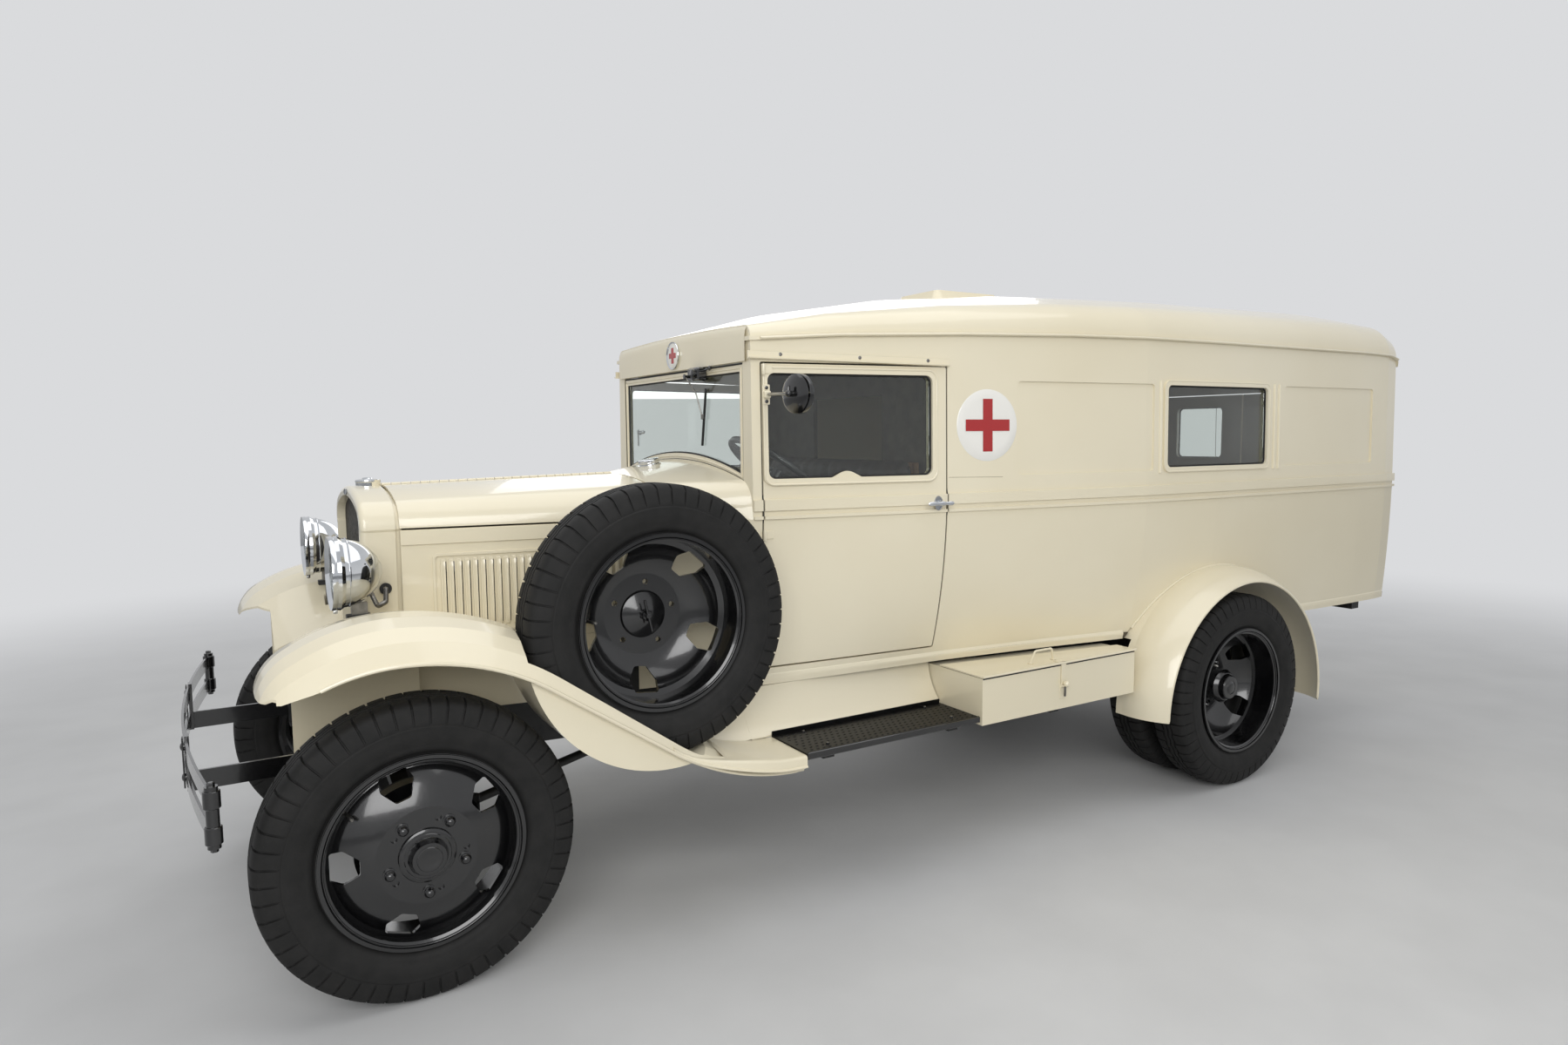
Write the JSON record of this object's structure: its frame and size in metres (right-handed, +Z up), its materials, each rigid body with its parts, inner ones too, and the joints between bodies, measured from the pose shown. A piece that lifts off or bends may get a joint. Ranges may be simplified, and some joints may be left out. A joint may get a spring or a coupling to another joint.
{
  "type": "military ambulance truck",
  "caption": "Closed ambulance body on a light truck chassis: long louvred hood, round-shouldered box body, sweeping fenders, twin rear tyres and a side-mounted spare.",
  "frame": {"origin": "on the ground under the middle of the whole vehicle", "axes": "+X ahead, +Y to the vehicle's left, +Z up"},
  "size_m": [5.383, 2.04, 2.2018],
  "materials": {
    "cream_paint": "semi-gloss",
    "dark_paint": "satin",
    "shell_paint": "gloss",
    "gloss_black": "gloss",
    "chrome": "polished",
    "tyre_rubber": "matt",
    "glass": "clear",
    "core_metal": "dull",
    "cast_iron": "rough",
    "steel": "dull",
    "leather": "worn",
    "wood": "varnished",
    "lining": "painted",
    "black_plastic": "gloss"
  },
  "bodies": {
    "chassis": {"chassis_frame": "dark_paint", "front_axle": "dark_paint", "rear_axle": "dark_paint", "engine_block": "cast_iron", "exhaust": "steel", "radiator_shell": "shell_paint", "radiator_core": "core_metal", "lamp_posts": "steel", "headlamps": "chrome", "bumper": "gloss_black", "front_fender_left": "cream_paint", "front_fender_right": "cream_paint", "running_boards": "dark_paint", "splash_aprons": "cream_paint", "spare_wheel": "gloss_black", "spare_tyre": "tyre_rubber", "cowl": "cream_paint", "windshield_frame": "cream_paint", "window_glass": "glass", "side_left": "cream_paint", "side_right": "cream_paint", "roof": "cream_paint", "floor": "lining", "partition": "lining", "rear_wall": "cream_paint", "rear_fender_left": "cream_paint", "rear_fender_right": "cream_paint", "toolbox": "cream_paint", "seat": "leather", "benches": "wood", "steering_column": "dark_paint"},
    "knuckle_left": {"knuckle_left": "dark_paint"},
    "knuckle_right": {"knuckle_right": "dark_paint"},
    "tie_rod": {"tie_rod": "dark_paint"},
    "front_wheel_left": {"front_wheel_left": "gloss_black", "front_tyre_left": "tyre_rubber"},
    "front_wheel_right": {"front_wheel_right": "gloss_black", "front_tyre_right": "tyre_rubber"},
    "rear_wheels_left": {"rear_wheels_left": "gloss_black", "rear_tyres_left": "tyre_rubber"},
    "rear_wheels_right": {"rear_wheels_right": "gloss_black", "rear_tyres_right": "tyre_rubber"},
    "door_left": {"door_left": "cream_paint", "door_glass_left": "glass", "mirror_left": "gloss_black"},
    "door_right": {"door_right": "cream_paint", "door_glass_right": "glass"},
    "rear_door_left": {"rear_door_left": "cream_paint", "rear_door_glass_left": "glass"},
    "rear_door_right": {"rear_door_right": "cream_paint", "rear_door_glass_right": "glass"},
    "toolbox_lid": {"toolbox_lid": "cream_paint"},
    "hood_top_left": {"hood_top_left": "cream_paint"},
    "hood_top_right": {"hood_top_right": "cream_paint"},
    "hood_side_left": {"hood_side_left": "cream_paint"},
    "hood_side_right": {"hood_side_right": "cream_paint"},
    "steering_wheel": {"steering_wheel": "black_plastic"}
  },
  "joints": [
    {"name": "steer_left", "type": "hinge", "parent": "chassis", "child": "knuckle_left", "pos_m": [2.1315, 0.598, 0.42], "axis": [0, 0, 1], "range_deg": [-30, 30]},
    {"name": "front_spin_left", "type": "hinge", "parent": "knuckle_left", "child": "front_wheel_left", "pos_m": [2.1315, 0.7025, 0.42], "axis": [0, 1, 0], "continuous": true},
    {"name": "rear_spin_left", "type": "hinge", "parent": "chassis", "child": "rear_wheels_left", "pos_m": [-1.2085, 0.8, 0.42], "axis": [0, 1, 0], "continuous": true},
    {"name": "door_left", "type": "hinge", "parent": "chassis", "child": "door_left", "pos_m": [0.9695, 0.622, 1.26], "axis": [0, 0, -1], "range_deg": [0, 65]},
    {"name": "rear_door_left", "type": "hinge", "parent": "chassis", "child": "rear_door_left", "pos_m": [-2.6975, 0.568, 1.25], "axis": [0, 0, -1], "range_deg": [0, 100]},
    {"name": "hood_left", "type": "hinge", "parent": "chassis", "child": "hood_top_left", "pos_m": [1.2745, 0, 1.404], "axis": [0.9998, 0, -0.0207], "range_deg": [0, 45]},
    {"name": "hood_side_left", "type": "hinge", "parent": "hood_top_left", "child": "hood_side_left", "pos_m": [1.2745, 0.413, 1.26], "axis": [0.9905, -0.1377, 0], "range_deg": [-34, 0]},
    {"name": "steer_right", "type": "hinge", "parent": "chassis", "child": "knuckle_right", "pos_m": [2.1315, -0.598, 0.42], "axis": [0, 0, 1], "range_deg": [-30, 30]},
    {"name": "front_spin_right", "type": "hinge", "parent": "knuckle_right", "child": "front_wheel_right", "pos_m": [2.1315, -0.7025, 0.42], "axis": [0, 1, 0], "continuous": true},
    {"name": "rear_spin_right", "type": "hinge", "parent": "chassis", "child": "rear_wheels_right", "pos_m": [-1.2085, -0.8, 0.42], "axis": [0, 1, 0], "continuous": true},
    {"name": "door_right", "type": "hinge", "parent": "chassis", "child": "door_right", "pos_m": [0.9695, -0.622, 1.26], "axis": [0, 0, 1], "range_deg": [0, 65]},
    {"name": "rear_door_right", "type": "hinge", "parent": "chassis", "child": "rear_door_right", "pos_m": [-2.6975, -0.568, 1.25], "axis": [0, 0, 1], "range_deg": [0, 100]},
    {"name": "hood_right", "type": "hinge", "parent": "chassis", "child": "hood_top_right", "pos_m": [1.2745, 0, 1.404], "axis": [-0.9998, 0, 0.0207], "range_deg": [0, 45]},
    {"name": "hood_side_right", "type": "hinge", "parent": "hood_top_right", "child": "hood_side_right", "pos_m": [1.2745, -0.413, 1.26], "axis": [-0.9905, -0.1377, 0], "range_deg": [-34, 0]},
    {"name": "tie_rod_pivot", "type": "hinge", "parent": "knuckle_left", "child": "tie_rod", "pos_m": [1.9615, 0.598, 0.452], "axis": [0, 0, 1], "range_deg": [-30, 30]},
    {"name": "steering_wheel_turn", "type": "hinge", "parent": "chassis", "child": "steering_wheel", "pos_m": [0.7565, 0.36, 1.4], "axis": [-0.6049, 0.0772, 0.7926], "range_deg": [-365, 365]},
    {"name": "toolbox_lid", "type": "hinge", "parent": "chassis", "child": "toolbox_lid", "pos_m": [0.2265, 0.668, 0.6565], "axis": [0.9865, -0.164, 0], "range_deg": [0, 60]}
  ],
  "couplings": [
    {"joint": "steer_right", "follows": "steer_left", "ratio": 1},
    {"joint": "tie_rod_pivot", "follows": "steer_left", "ratio": -1},
    {"joint": "steering_wheel_turn", "follows": "steer_left", "ratio": 12},
    {"joint": "hood_side_left", "follows": "hood_left", "ratio": -0.75},
    {"joint": "hood_side_right", "follows": "hood_right", "ratio": -0.75}
  ]
}
